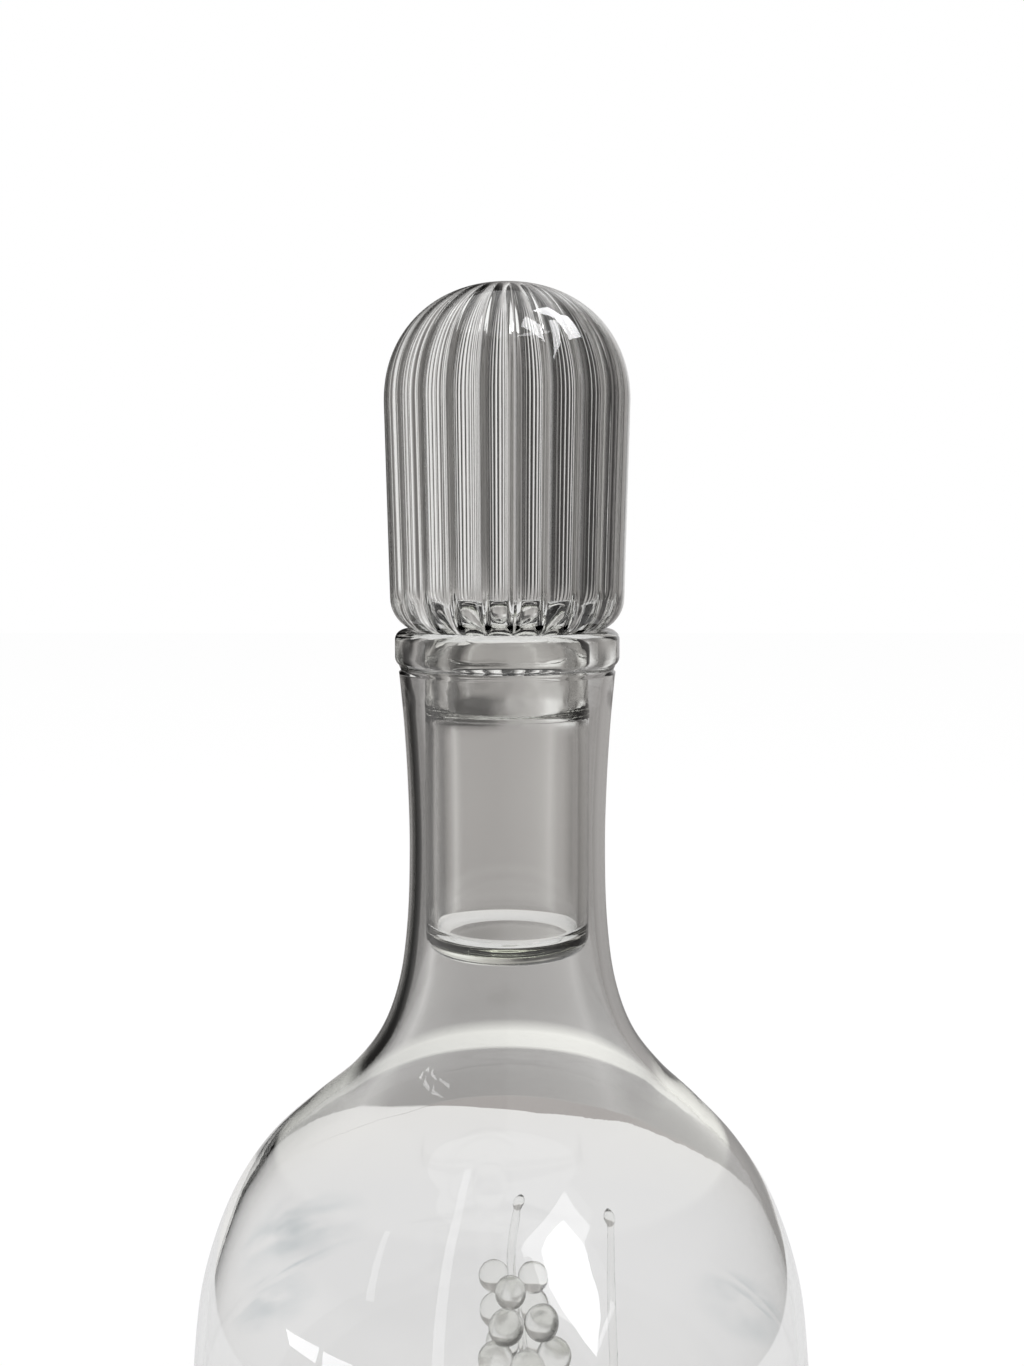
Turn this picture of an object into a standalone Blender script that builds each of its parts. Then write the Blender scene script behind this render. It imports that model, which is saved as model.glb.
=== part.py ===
"""Clear glass carafe with a fluted hollow stopper and a bunch of glass grapes standing inside it.

Metres, +Z up, front towards -Y. The origin is the middle of the base, on the surface below it.
"""

import math

import bmesh
import bpy

# Fits
FUSE_GAP = 0.0003
PLUG_CLEARANCE = 0.0008
MERGE_DISTANCE = 0.00001
CUT_OVERRUN = 0.0010

# Vessel
CARAFE_HEIGHT = 0.2000
BELLY_HEIGHT = 0.0570
BELLY_RADIUS = 0.0602
WAIST_HEIGHT = 0.1580
NECK_OFFSET = 0.0012
NECK_RADIUS = 0.0188
MOUTH_FLARE = 0.0019
GLASS_WALL = 0.0023
BASE_RADIUS = 0.0340
BASE_THICKNESS = 0.0035
FOOT_RING_WIDTH = 0.0090
PUNT_HEIGHT = 0.0025
PUNT_STEPS = 3
SHOULDER_STEPS = 2
VESSEL_SIDES = 40

# Lip, a band of glass laid round the mouth
LIP_HEIGHT = 0.0070
LIP_OVERHANG = 0.00065
LIP_INSET = 0.0011
LIP_ROUNDING = 0.0019
LIP_CORNER_STEPS = 3

# Stopper knob
KNOB_HEIGHT = 0.0651
KNOB_OVERHANG = 0.00175
KNOB_TAPER = 0.0009
KNOB_DOME_HEIGHT = 0.0220
KNOB_ROUNDING = 0.0066
KNOB_WALL = 0.0016
KNOB_FLOOR = 0.0030
CAVITY_ROUNDING = 0.0050
FLUTE_COUNT = 20
FLUTE_DEPTH = 0.0022
FLUTE_PHASE = math.radians(4.3)
SIDES_PER_FLUTE = 4
DOME_POWER = 2.12
DOME_STEPS = 7
CORNER_STEPS = 3

# Stopper plug, with the thick collar that joins it to the knob
COLLAR_LENGTH = 0.0145
COLLAR_WALL = 0.0042
PLUG_LENGTH = 0.0465
PLUG_WALL = 0.0018
PLUG_FLOOR = 0.0033
PLUG_ROUNDING = 0.0026
PLUG_BORE_ROUNDING = 0.0018
PLUG_SIDES = 40

# Foot that carries the bunch, with the shoot standing against its side
BUNCH_OFFSET = 0.0046
FOOT_RADIUS = 0.0085
FOOT_HEIGHT = 0.0034
FOOT_ROUNDING = 0.0022
FOOT_SIDES = 24

# Stem
STEM_RADIUS = 0.0012
STEM_FREE_LENGTH = 0.0177
STEM_LEAN = 0.0027

# Grapes
GRAPE_RADIUS = 0.00345
GRAPE_HALF_HEIGHT = 0.0036
TOP_TIER_HEIGHT = 0.0705
TIER_COUNTS = (3, 4, 5, 6, 6, 5, 4)
TIER_TURNS = (265.0, 240.0, 205.0, 228.0, 198.0, 231.0, 210.0)
GRAPE_SIDES = 12
GRAPE_RINGS = 6

# Vine shoot beside the bunch
SHOOT_RADIUS = 0.0012
SHOOT_TIP_HEIGHT = 0.0854
SHOOT_SPREAD = 0.0182
SHOOT_TIP_LEAN = 0.0018
ROD_STEPS = 3

# Outlines, as shares of the sizes that they follow
NECK_BEND_SHARES = (0.376, 0.574)
NECK_FLARE_SHARES = ((0.0, 1.0), (0.12, 0.77), (0.35, 0.42), (0.65, 0.13), (1.0, 0.0))
SHOULDER_SHARES = (
    (0.0, 0.0),
    (0.14, 0.012),
    (0.26, 0.053),
    (0.36, 0.143),
    (0.445, 0.300),
    (0.52, 0.500),
    (0.60, 0.693),
    (0.70, 0.843),
    (0.84, 0.955),
    (1.0, 1.0),
)
LOWER_BELLY_SHARES = (
    (0.0, 1.0),
    (0.2, 0.967),
    (0.4, 0.862),
    (0.6, 0.680),
    (0.78, 0.435),
    (0.92, 0.195),
    (1.0, 0.0),
)
STEM_LEAN_SHARES = (
    (0.0, 0.0),
    (0.4, 0.0),
    (0.58, 0.06),
    (0.68, 0.40),
    (0.77, 0.88),
    (0.84, 1.0),
    (0.92, 0.74),
    (1.0, 0.26),
)
SHOOT_SHARES = ((0.0, 0.0), (0.04, 0.01), (0.1, 0.2), (0.18, 0.58), (0.28, 0.88), (0.42, 1.0))
TIER_SIZE_SHARES = (0.88, 1.0, 1.0, 1.0, 1.0, 0.97, 0.92)
ROD_END_SHARES = ((0.0, 0.25), (0.12, 0.62), (0.45, 0.90))


def glass(name, colour, roughness, ior):
    """A clear glass: what passes through it keeps its colour, apart from a faint tint."""
    material = bpy.data.materials.new(name)
    material.use_nodes = True
    shader = material.node_tree.nodes["Principled BSDF"]
    shader.inputs["Base Color"].default_value = (*colour, 1.0)
    shader.inputs["Metallic"].default_value = 0.0
    shader.inputs["Roughness"].default_value = roughness
    shader.inputs["IOR"].default_value = ior
    shader.inputs["Transmission Weight"].default_value = 1.0
    return material


def between(start, end, share):
    """The value a share of the way from start to end."""
    return start + (end - start) * share


def smooth_curve(points, steps):
    """Points along a smooth curve through the given points, in so many steps from each to the next."""
    found = []
    last = len(points) - 1
    for i in range(last):
        near = (points[max(i - 1, 0)], points[i], points[i + 1], points[min(i + 2, last)])
        for step in range(steps):
            t = step / steps
            found.append(
                tuple(
                    b
                    + t * (c - a) / 2
                    + t**2 * (2 * a - 5 * b + 4 * c - d) / 2
                    + t**3 * (3 * b - a - 3 * c + d) / 2
                    for a, b, c, d in zip(*near)
                )
            )
    found.append(tuple(points[last]))
    return found


def quarter_turn(centre, radius, start, steps):
    """Points on a quarter circle that turns clockwise from the start angle, both ends included."""
    turns = [start - math.pi / 2 * i / steps for i in range(steps + 1)]
    return [(centre[0] + radius * math.cos(turn), centre[1] + radius * math.sin(turn)) for turn in turns]


def dome(radius, height, top):
    """A rounded dome from its top in the middle down to its full radius, a little fuller than an ellipse."""
    found = []
    for i in range(DOME_STEPS + 1):
        turn = math.pi / 2 * i / DOME_STEPS
        across = math.sin(turn) ** (2 / DOME_POWER)
        up = math.cos(turn) ** (2 / DOME_POWER) if i < DOME_STEPS else 0.0
        found.append((radius * across, top - height * (1 - up)))
    return found


def set_in(outline, distance):
    """The outline moved towards the inner side of the glass, square to itself."""
    moved = []
    for i, (radius, height) in enumerate(outline):
        before = outline[max(i - 1, 0)]
        after = outline[min(i + 1, len(outline) - 1)]
        along = (after[0] - before[0], after[1] - before[1])
        length = math.hypot(*along)
        moved.append((radius + distance * along[1] / length, height - distance * along[0] / length))
    return moved


def turned(name, outline, sides, material, collection, closed=False, centre=0.0):
    """A solid turned about a vertical axis at x = centre, from an outline of (radius, height) points."""
    edges = [(i, i + 1) for i in range(len(outline) - 1)]
    if closed:
        edges.append((len(outline) - 1, 0))
    mesh = bpy.data.meshes.new(name)
    mesh.from_pydata([(radius, 0.0, height) for radius, height in outline], edges, [])
    mesh.materials.append(material)
    solid = bpy.data.objects.new(name, mesh)
    solid.location = (centre, 0.0, 0.0)
    collection.objects.link(solid)
    screw = solid.modifiers.new("Turn", "SCREW")
    screw.axis = "Z"
    screw.angle = math.tau
    screw.steps = sides
    screw.render_steps = sides
    screw.use_merge_vertices = True
    screw.merge_threshold = MERGE_DISTANCE
    screw.use_smooth_shade = True
    return solid


def as_mesh(solid):
    """The solid's mesh as its modifiers leave it, in place of the modifiers."""
    mesh = bpy.data.meshes.new_from_object(solid.evaluated_get(bpy.context.evaluated_depsgraph_get()))
    solid.modifiers.clear()
    solid.data = mesh
    return mesh


def rod(name, route, radius, material, collection):
    """A round rod along the route, fire-rounded at the route's last point."""
    tip = route[-1]
    back = route[-2]
    length = math.dist(tip, back)
    knots = [(point, 1.0) for point in route[:-1]]
    knots.append((tuple(between(t, b, radius / length) for t, b in zip(tip, back)), 1.0))
    for share, swell in reversed(ROD_END_SHARES):
        knots.append((tuple(between(t, b, share * radius / length) for t, b in zip(tip, back)), swell))
    curve = bpy.data.curves.new(name, "CURVE")
    curve.dimensions = "3D"
    curve.bevel_depth = radius
    curve.bevel_resolution = 2
    curve.use_fill_caps = True
    curve.materials.append(material)
    spline = curve.splines.new("POLY")
    spline.points.add(len(knots) - 1)
    for knot, (place, swell) in zip(spline.points, knots):
        knot.co = (*place, 1.0)
        knot.radius = swell
    spline.use_smooth = True
    made = bpy.data.objects.new(name, curve)
    collection.objects.link(made)
    return made


def neck_top_radius():
    """The outside of the neck where it ends, a little wider than its waist."""
    return NECK_RADIUS + MOUTH_FLARE


def lip_radius():
    """The outside of the lip, which stands out from the neck."""
    return neck_top_radius() + LIP_OVERHANG


def mouth_radius():
    """The opening inside the lip, which stands in from the neck's bore."""
    return neck_top_radius() - GLASS_WALL - LIP_INSET


def knob_radius():
    """The widest place of the knob, which overhangs the lip."""
    return lip_radius() + KNOB_OVERHANG


def knob_foot_radius():
    """The side of the knob just above its rounded foot."""
    return knob_radius() - KNOB_TAPER


def neck_top_height():
    """Where the neck ends, under the lip."""
    return CARAFE_HEIGHT - LIP_HEIGHT - FUSE_GAP


def floor_height():
    """The flat floor inside the vessel, over the punt."""
    return PUNT_HEIGHT + BASE_THICKNESS


def foot_top():
    """Where the stem rises from its foot."""
    return floor_height() + FUSE_GAP + FOOT_HEIGHT + FUSE_GAP


def seat_height():
    """The flat underside of the knob, when its rounded foot rests on the rounded inner edge of the lip."""
    edges_apart = max(0.0, mouth_radius() + LIP_ROUNDING - (knob_foot_radius() - KNOB_ROUNDING))
    rise = math.sqrt((KNOB_ROUNDING + LIP_ROUNDING + FUSE_GAP) ** 2 - edges_apart**2)
    return CARAFE_HEIGHT - LIP_ROUNDING + rise - KNOB_ROUNDING


def plug_radius():
    """The outside of the plug, which clears the narrowest part of the neck's bore."""
    return NECK_RADIUS - GLASS_WALL - PLUG_CLEARANCE


def neck_outline():
    """Outer side of the neck from under the lip down to just above its waist."""
    return [
        (between(NECK_RADIUS, neck_top_radius(), spread), between(neck_top_height(), WAIST_HEIGHT, drop))
        for drop, spread in NECK_FLARE_SHARES[:-1]
    ]


def shoulder_outline():
    """Outer side of the vessel from the neck's waist down to the belly."""
    shoulder = [
        (between(NECK_RADIUS, BELLY_RADIUS, spread), between(WAIST_HEIGHT, BELLY_HEIGHT, drop))
        for drop, spread in SHOULDER_SHARES
    ]
    return smooth_curve(shoulder, SHOULDER_STEPS)


def lower_outline(belly_radius, foot_radius, foot_height):
    """Lower half of the belly, from its widest place in to the foot."""
    return [
        (between(foot_radius, belly_radius, spread), between(BELLY_HEIGHT, foot_height, drop))
        for drop, spread in LOWER_BELLY_SHARES
    ]


def make_vessel(collection, material):
    """Neck, shoulder and belly in one wall over a thicker base. The neck stands a little off the belly."""
    neck = neck_outline()
    shoulder = shoulder_outline()
    outer = neck + shoulder
    inner = [(radius - GLASS_WALL, height) for radius, height in neck] + set_in(shoulder, GLASS_WALL)
    inner[-1] = (BELLY_RADIUS - GLASS_WALL, BELLY_HEIGHT)
    outer_foot = lower_outline(BELLY_RADIUS, BASE_RADIUS, 0.0)
    inner_foot = lower_outline(BELLY_RADIUS - GLASS_WALL, BASE_RADIUS - GLASS_WALL, floor_height())
    outline = [(0.0, floor_height())]
    outline += inner_foot[::-1]
    outline += inner[-2::-1]
    outline += outer
    outline += outer_foot[1:]
    for i in range(PUNT_STEPS):
        turn = math.pi / 2 * i / PUNT_STEPS
        outline.append(((BASE_RADIUS - FOOT_RING_WIDTH) * math.cos(turn), PUNT_HEIGHT * math.sin(turn)))
    outline.append((0.0, PUNT_HEIGHT))
    vessel = turned("carafe_body", outline, VESSEL_SIDES, material, collection)
    bend_low, bend_high = (between(BELLY_HEIGHT, WAIST_HEIGHT, share) for share in NECK_BEND_SHARES)
    for vertex in as_mesh(vessel).vertices:
        rise = min(1.0, max(0.0, (vertex.co.z - bend_low) / (bend_high - bend_low)))
        vertex.co.x += NECK_OFFSET * (1 - math.cos(math.pi * rise)) / 2


def make_lip(collection, material):
    """The thick band round the mouth, with all four edges melted round."""
    low = neck_top_height() + FUSE_GAP + LIP_ROUNDING
    high = CARAFE_HEIGHT - LIP_ROUNDING
    inside = mouth_radius() + LIP_ROUNDING
    outside = lip_radius() - LIP_ROUNDING
    corners = ((inside, high), (outside, high), (outside, low), (inside, low))
    outline = []
    for i, corner in enumerate(corners):
        outline += quarter_turn(corner, LIP_ROUNDING, math.pi * (1 - i / 2), LIP_CORNER_STEPS)
    turned("lip_ring", outline, VESSEL_SIDES, material, collection, closed=True, centre=NECK_OFFSET)


def make_knob(collection, cutters, material):
    """A hollow knob, smooth outside, whose cavity is fluted from end to end."""
    seat = seat_height()
    foot_corner = (knob_foot_radius() - KNOB_ROUNDING, seat + KNOB_ROUNDING)
    outline = dome(knob_radius(), KNOB_DOME_HEIGHT, seat + KNOB_HEIGHT)
    outline += quarter_turn(foot_corner, KNOB_ROUNDING, 0.0, CORNER_STEPS)
    outline.append((0.0, seat))
    sides = FLUTE_COUNT * SIDES_PER_FLUTE
    knob = turned("stopper_knob", outline, sides, material, collection, centre=NECK_OFFSET)
    knob.rotation_euler.z = FLUTE_PHASE - math.pi / 2
    cavity = make_cavity(cutters, sides, material)
    cavity.rotation_euler = knob.rotation_euler
    cavity.hide_render = True
    cavity.display_type = "WIRE"
    cut = knob.modifiers.new("Cavity", "BOOLEAN")
    cut.operation = "DIFFERENCE"
    cut.solver = "EXACT"
    cut.object = cavity


def make_cavity(cutters, sides, material):
    """The room inside the knob, with the bore that leads down into the collar, as a cutter."""
    seat = seat_height()
    bore = plug_radius() - COLLAR_WALL
    floor = seat + KNOB_FLOOR
    widest = knob_radius() - KNOB_WALL
    corner = (knob_foot_radius() - KNOB_WALL - CAVITY_ROUNDING, floor + CAVITY_ROUNDING)
    outline = dome(widest, KNOB_DOME_HEIGHT - KNOB_WALL, seat + KNOB_HEIGHT - KNOB_WALL)
    dome_foot = outline[-1][1]
    outline += quarter_turn(corner, CAVITY_ROUNDING, 0.0, CORNER_STEPS)
    outline += [(bore, floor), (bore, seat - CUT_OVERRUN), (0.0, seat - CUT_OVERRUN)]
    cavity = turned("knob_cavity", outline, sides, material, cutters, centre=NECK_OFFSET)
    for vertex in as_mesh(cavity).vertices:
        radius = math.hypot(vertex.co.x, vertex.co.y)
        if vertex.co.z >= dome_foot:
            reach = radius / widest
        else:
            reach = min(1.0, max(0.0, (radius - bore) / (corner[0] + CAVITY_ROUNDING - bore)))
        if reach > 0.0:
            pressed = FLUTE_DEPTH * reach * rib_share(math.atan2(vertex.co.y, vertex.co.x))
            vertex.co.x *= 1 - pressed / radius
            vertex.co.y *= 1 - pressed / radius
    return cavity


def rib_share(turn):
    """How far the glass stands in at this turn: 1 on the crest of a rib, 0 in the middle of a flute."""
    return 1 - abs(math.sin(turn * FLUTE_COUNT / 2))


def make_collar(collection, material):
    """The thick glass joint between the knob and the plug."""
    top = seat_height() - FUSE_GAP
    outside = plug_radius()
    inside = outside - COLLAR_WALL
    low = top - COLLAR_LENGTH
    outline = [(inside, top), (outside, top), (outside, low), (inside, low)]
    turned("stopper_collar", outline, PLUG_SIDES, material, collection, closed=True, centre=NECK_OFFSET)


def make_plug(collection, material):
    """The thin-walled tube that hangs in the neck, closed by a flat floor."""
    top = seat_height() - FUSE_GAP - COLLAR_LENGTH - FUSE_GAP
    bottom = top - PLUG_LENGTH
    floor = bottom + PLUG_FLOOR
    outside = plug_radius()
    inside = outside - PLUG_WALL
    foot_corner = (outside - PLUG_ROUNDING, bottom + PLUG_ROUNDING)
    bore_corner = (inside - PLUG_BORE_ROUNDING, floor + PLUG_BORE_ROUNDING)
    outline = [(0.0, floor)]
    outline += quarter_turn(bore_corner, PLUG_BORE_ROUNDING, 0.0, CORNER_STEPS)[::-1]
    outline += [(inside, top), (outside, top)]
    outline += quarter_turn(foot_corner, PLUG_ROUNDING, 0.0, CORNER_STEPS)
    outline.append((0.0, bottom))
    turned("stopper_plug", outline, PLUG_SIDES, material, collection, centre=NECK_OFFSET)


def make_foot(collection, material):
    """The gob of glass that holds the stem to the floor of the vessel."""
    low = floor_height() + FUSE_GAP
    high = low + FOOT_HEIGHT
    corner = (FOOT_RADIUS - FOOT_ROUNDING, high - FOOT_ROUNDING)
    outline = [(0.0, high)]
    outline += quarter_turn(corner, FOOT_ROUNDING, math.pi / 2, CORNER_STEPS)
    outline += [(FOOT_RADIUS, low), (0.0, low)]
    turned("vine_foot", outline, FOOT_SIDES, material, collection, centre=BUNCH_OFFSET)


def stem_route():
    """The stem rises straight, leans to the left through the upper grapes and comes back above them."""
    low = foot_top()
    high = TOP_TIER_HEIGHT + STEM_FREE_LENGTH
    bends = [
        (BUNCH_OFFSET - STEM_LEAN * lean, 0.0, between(low, high, rise)) for rise, lean in STEM_LEAN_SHARES
    ]
    return smooth_curve(bends, ROD_STEPS)


def make_stem(collection, material):
    """The rod that carries the grapes, with its tip above them."""
    rod("bunch_stem", stem_route(), STEM_RADIUS, material, collection)


def make_shoot(collection, material):
    """The second rod, which stands on the floor against the foot, bows out and rises beside the bunch."""
    low = floor_height() + FUSE_GAP
    seat = FOOT_RADIUS + FUSE_GAP + SHOOT_RADIUS
    bends = [
        (BUNCH_OFFSET + between(seat, SHOOT_SPREAD, out), 0.0, between(low, SHOOT_TIP_HEIGHT, up))
        for up, out in SHOOT_SHARES
    ]
    bends.append((BUNCH_OFFSET + SHOOT_SPREAD - SHOOT_TIP_LEAN, 0.0, SHOOT_TIP_HEIGHT))
    rod("vine_shoot", smooth_curve(bends, ROD_STEPS), SHOOT_RADIUS, material, collection)


def stem_reach(height):
    """Where the middle of the stem is at a height, along X."""
    route = stem_route()
    for low, high in zip(route, route[1:]):
        if low[2] <= height <= high[2]:
            return between(low[0], high[0], (height - low[2]) / (high[2] - low[2]))
    return route[-1][0]


def make_grape(name, place, radius, half_height, collection, material):
    """One grape, a little taller than wide."""
    mesh = bpy.data.meshes.new(name)
    shape = bmesh.new()
    bmesh.ops.create_uvsphere(shape, u_segments=GRAPE_SIDES, v_segments=GRAPE_RINGS, radius=radius)
    bmesh.ops.scale(shape, vec=(1.0, 1.0, half_height / radius), verts=shape.verts)
    shape.to_mesh(mesh)
    shape.free()
    mesh.shade_smooth()
    mesh.materials.append(material)
    grape = bpy.data.objects.new(name, mesh)
    grape.location = place
    collection.objects.link(grape)


def make_grapes(collection, material):
    """Tiers of grapes from the top down, each as close about the stem as its grapes allow."""
    number = 0
    height = TOP_TIER_HEIGHT
    for count, turn, size in zip(TIER_COUNTS, TIER_TURNS, TIER_SIZE_SHARES):
        radius = GRAPE_RADIUS * size
        half_height = GRAPE_HALF_HEIGHT * size
        if number:
            height -= half_height
        about_stem = STEM_RADIUS + FUSE_GAP + radius
        side_by_side = (radius + FUSE_GAP / 2) / math.sin(math.pi / count)
        ring = max(about_stem, side_by_side)
        middle = stem_reach(height)
        for i in range(count):
            number += 1
            angle = math.radians(turn) + math.tau * i / count
            place = (middle + ring * math.cos(angle), ring * math.sin(angle), height)
            make_grape(f"grape_{number:02d}", place, radius, half_height, collection, material)
        height -= half_height + FUSE_GAP


def main():
    for old in list(bpy.data.objects):
        bpy.data.objects.remove(old)
    carafe = bpy.data.collections.new("Glass carafe")
    cutters = bpy.data.collections.new("Cutters")
    bpy.context.scene.collection.children.link(carafe)
    bpy.context.scene.collection.children.link(cutters)
    vessel_glass = glass("vessel_glass", (0.96, 0.97, 0.95), 0.02, 1.47)
    stopper_glass = glass("stopper_glass", (0.95, 0.96, 0.93), 0.02, 1.47)
    vine_glass = glass("vine_glass", (0.93, 0.94, 0.92), 0.03, 1.47)
    make_vessel(carafe, vessel_glass)
    make_lip(carafe, vessel_glass)
    make_knob(carafe, cutters, stopper_glass)
    make_collar(carafe, stopper_glass)
    make_plug(carafe, stopper_glass)
    make_foot(carafe, vine_glass)
    make_stem(carafe, vine_glass)
    make_shoot(carafe, vine_glass)
    make_grapes(carafe, vine_glass)


main()
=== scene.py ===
import math
import random

import bpy
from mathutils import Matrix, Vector


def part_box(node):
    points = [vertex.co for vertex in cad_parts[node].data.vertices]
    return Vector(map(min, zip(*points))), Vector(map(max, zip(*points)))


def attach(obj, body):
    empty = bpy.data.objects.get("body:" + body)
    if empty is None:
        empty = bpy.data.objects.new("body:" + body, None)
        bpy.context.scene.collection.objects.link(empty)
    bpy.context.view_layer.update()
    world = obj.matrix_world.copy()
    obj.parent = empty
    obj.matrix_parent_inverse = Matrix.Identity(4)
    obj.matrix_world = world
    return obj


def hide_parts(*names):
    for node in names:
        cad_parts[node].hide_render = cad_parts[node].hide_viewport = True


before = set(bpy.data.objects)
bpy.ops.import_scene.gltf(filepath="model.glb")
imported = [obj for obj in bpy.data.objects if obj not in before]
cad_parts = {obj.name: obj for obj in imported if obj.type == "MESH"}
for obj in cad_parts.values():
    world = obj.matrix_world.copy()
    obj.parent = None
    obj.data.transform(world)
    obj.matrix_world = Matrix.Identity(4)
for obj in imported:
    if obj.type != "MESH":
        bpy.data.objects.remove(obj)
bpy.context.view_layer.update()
print("frame loaded:", len(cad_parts), "nodes")


# Outlines, as lists of (radius, height) points

def between(start, end, share):
    return start + (end - start) * share


def shareOf(value, low, high):
    return min(1.0, max(0.0, (value - low) / (high - low)))


def ease(share):
    return share * share * (3 - 2 * share)


def bentBetween(t, a, b, c, d):
    # from b to c, with a slope that follows the neighbours a and d
    first = c - a
    second = 2 * a - 5 * b + 4 * c - d
    third = 3 * b - a - 3 * c + d
    return b + t * first / 2 + t**2 * second / 2 + t**3 * third / 2


def smoothCurve(points, steps):
    # a Catmull-Rom curve through the points, with so many steps from each to the next
    last = len(points) - 1
    found = []
    for i in range(last):
        near = (points[max(i - 1, 0)], points[i], points[i + 1], points[min(i + 2, last)])
        for step in range(steps):
            found.append(tuple(bentBetween(step / steps, *values) for values in zip(*near)))
    return found + [tuple(points[last])]


def setIn(outline, depthAt):
    # the outline moved towards its inner side, square to itself
    moved = []
    for i, (radius, height) in enumerate(outline):
        distance = depthAt(height)
        before, after = outline[max(i - 1, 0)], outline[min(i + 1, len(outline) - 1)]
        along = (after[0] - before[0], after[1] - before[1])
        length = math.hypot(*along)
        moved.append((radius + distance * along[1] / length, height - distance * along[0] / length))
    return moved


def arc(centre, radius, start, end, steps, rise=None):
    # round a centre from one angle to another, in degrees; a rise makes it taller or lower than wide
    turns = [math.radians(between(start, end, i / steps)) for i in range(steps + 1)]
    rise = rise or radius
    return [(centre[0] + radius * math.cos(turn), centre[1] + rise * math.sin(turn)) for turn in turns]


def straight(start, end, steps):
    # from start up to, and without, end
    return [tuple(between(a, b, i / steps) for a, b in zip(start, end)) for i in range(steps)]


# Modelling

mergeDistance = 0.000002  # in metres, as all lengths here


def deselectAll():
    if bpy.context.object and bpy.context.object.mode != "OBJECT":
        bpy.ops.object.mode_set(mode="OBJECT")
    bpy.ops.object.select_all(action="DESELECT")


def settle(piece):
    # the piece's place goes into its mesh, and its surface is shaded smooth
    deselectAll()
    piece.select_set(True)
    bpy.context.view_layer.objects.active = piece
    bpy.ops.object.transform_apply(location=True, rotation=True, scale=True)
    bpy.ops.object.shade_smooth()
    return piece


def turnedPiece(name, outline, segments, hollow=False):
    # one vertex, extruded along the outline and spun about the vertical axis; a hollow one faces inwards
    deselectAll()
    radius, height = outline[0]
    bpy.ops.mesh.primitive_plane_add(size=mergeDistance, location=(radius, 0, height))
    piece = bpy.context.object
    piece.name = name
    bpy.ops.object.mode_set(mode="EDIT")
    bpy.ops.mesh.select_all(action="SELECT")
    bpy.ops.mesh.merge(type="CENTER")
    for before, after in zip(outline, outline[1:]):
        step = (after[0] - before[0], 0, after[1] - before[1])
        bpy.ops.mesh.extrude_region_move(TRANSFORM_OT_translate={"value": step})
    bpy.ops.mesh.select_all(action="SELECT")
    bpy.ops.mesh.spin(steps=segments, angle=math.tau, center=(0, 0, 0), axis=(0, 0, 1))
    bpy.ops.mesh.select_all(action="SELECT")
    bpy.ops.mesh.remove_doubles(threshold=mergeDistance)
    bpy.ops.mesh.normals_make_consistent(inside=hollow)
    bpy.ops.object.mode_set(mode="OBJECT")
    return settle(piece)


def drawnRod(name, stations, sides):
    # a disc, extruded from one (x, height, radius) to the next
    deselectAll()
    x, height, radius = stations[0]
    bpy.ops.mesh.primitive_circle_add(
        vertices=sides, radius=radius, location=(x, 0, height), fill_type="NGON")
    piece = bpy.context.object
    piece.name = name
    bpy.ops.object.mode_set(mode="EDIT")
    bpy.ops.mesh.select_all(action="SELECT")
    for before, after in zip(stations, stations[1:]):
        step = (after[0] - before[0], 0, after[1] - before[1])
        bpy.ops.mesh.extrude_region_move(TRANSFORM_OT_translate={"value": step})
        size = after[2] / before[2]
        bpy.ops.transform.resize(value=(size, size, 1), center_override=(after[0], 0, after[1]))
    bpy.ops.mesh.select_all(action="SELECT")
    bpy.ops.mesh.normals_make_consistent(inside=False)
    bpy.ops.object.mode_set(mode="OBJECT")
    return settle(piece)


def smoothed(piece, levels):
    deselectAll()
    piece.select_set(True)
    bpy.context.view_layer.objects.active = piece
    softer = piece.modifiers.new("softer", "SUBSURF")
    softer.levels = levels
    softer.render_levels = levels
    bpy.ops.object.modifier_apply(modifier=softer.name)
    return piece


def joinInto(piece, other):
    deselectAll()
    other.select_set(True)
    piece.select_set(True)
    bpy.context.view_layer.objects.active = piece
    bpy.ops.object.join()
    return piece


def shift(piece, x):
    for vertex in piece.data.vertices:
        vertex.co.x += x


def fitInto(piece, low, high):
    # the mesh is moved and stretched to fill a box
    for i in range(3):
        values = [vertex.co[i] for vertex in piece.data.vertices]
        least, most = min(values), max(values)
        for vertex in piece.data.vertices:
            vertex.co[i] = between(low[i], high[i], (vertex.co[i] - least) / (most - least))


def finishPiece(piece, material, body, slot, *nodes):
    # the piece is dressed, rides on its body and takes the place of these solids
    piece.data.materials.clear()
    piece.data.materials.append(material)
    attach(piece, body)
    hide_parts(*nodes)


# Shader maths

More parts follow.
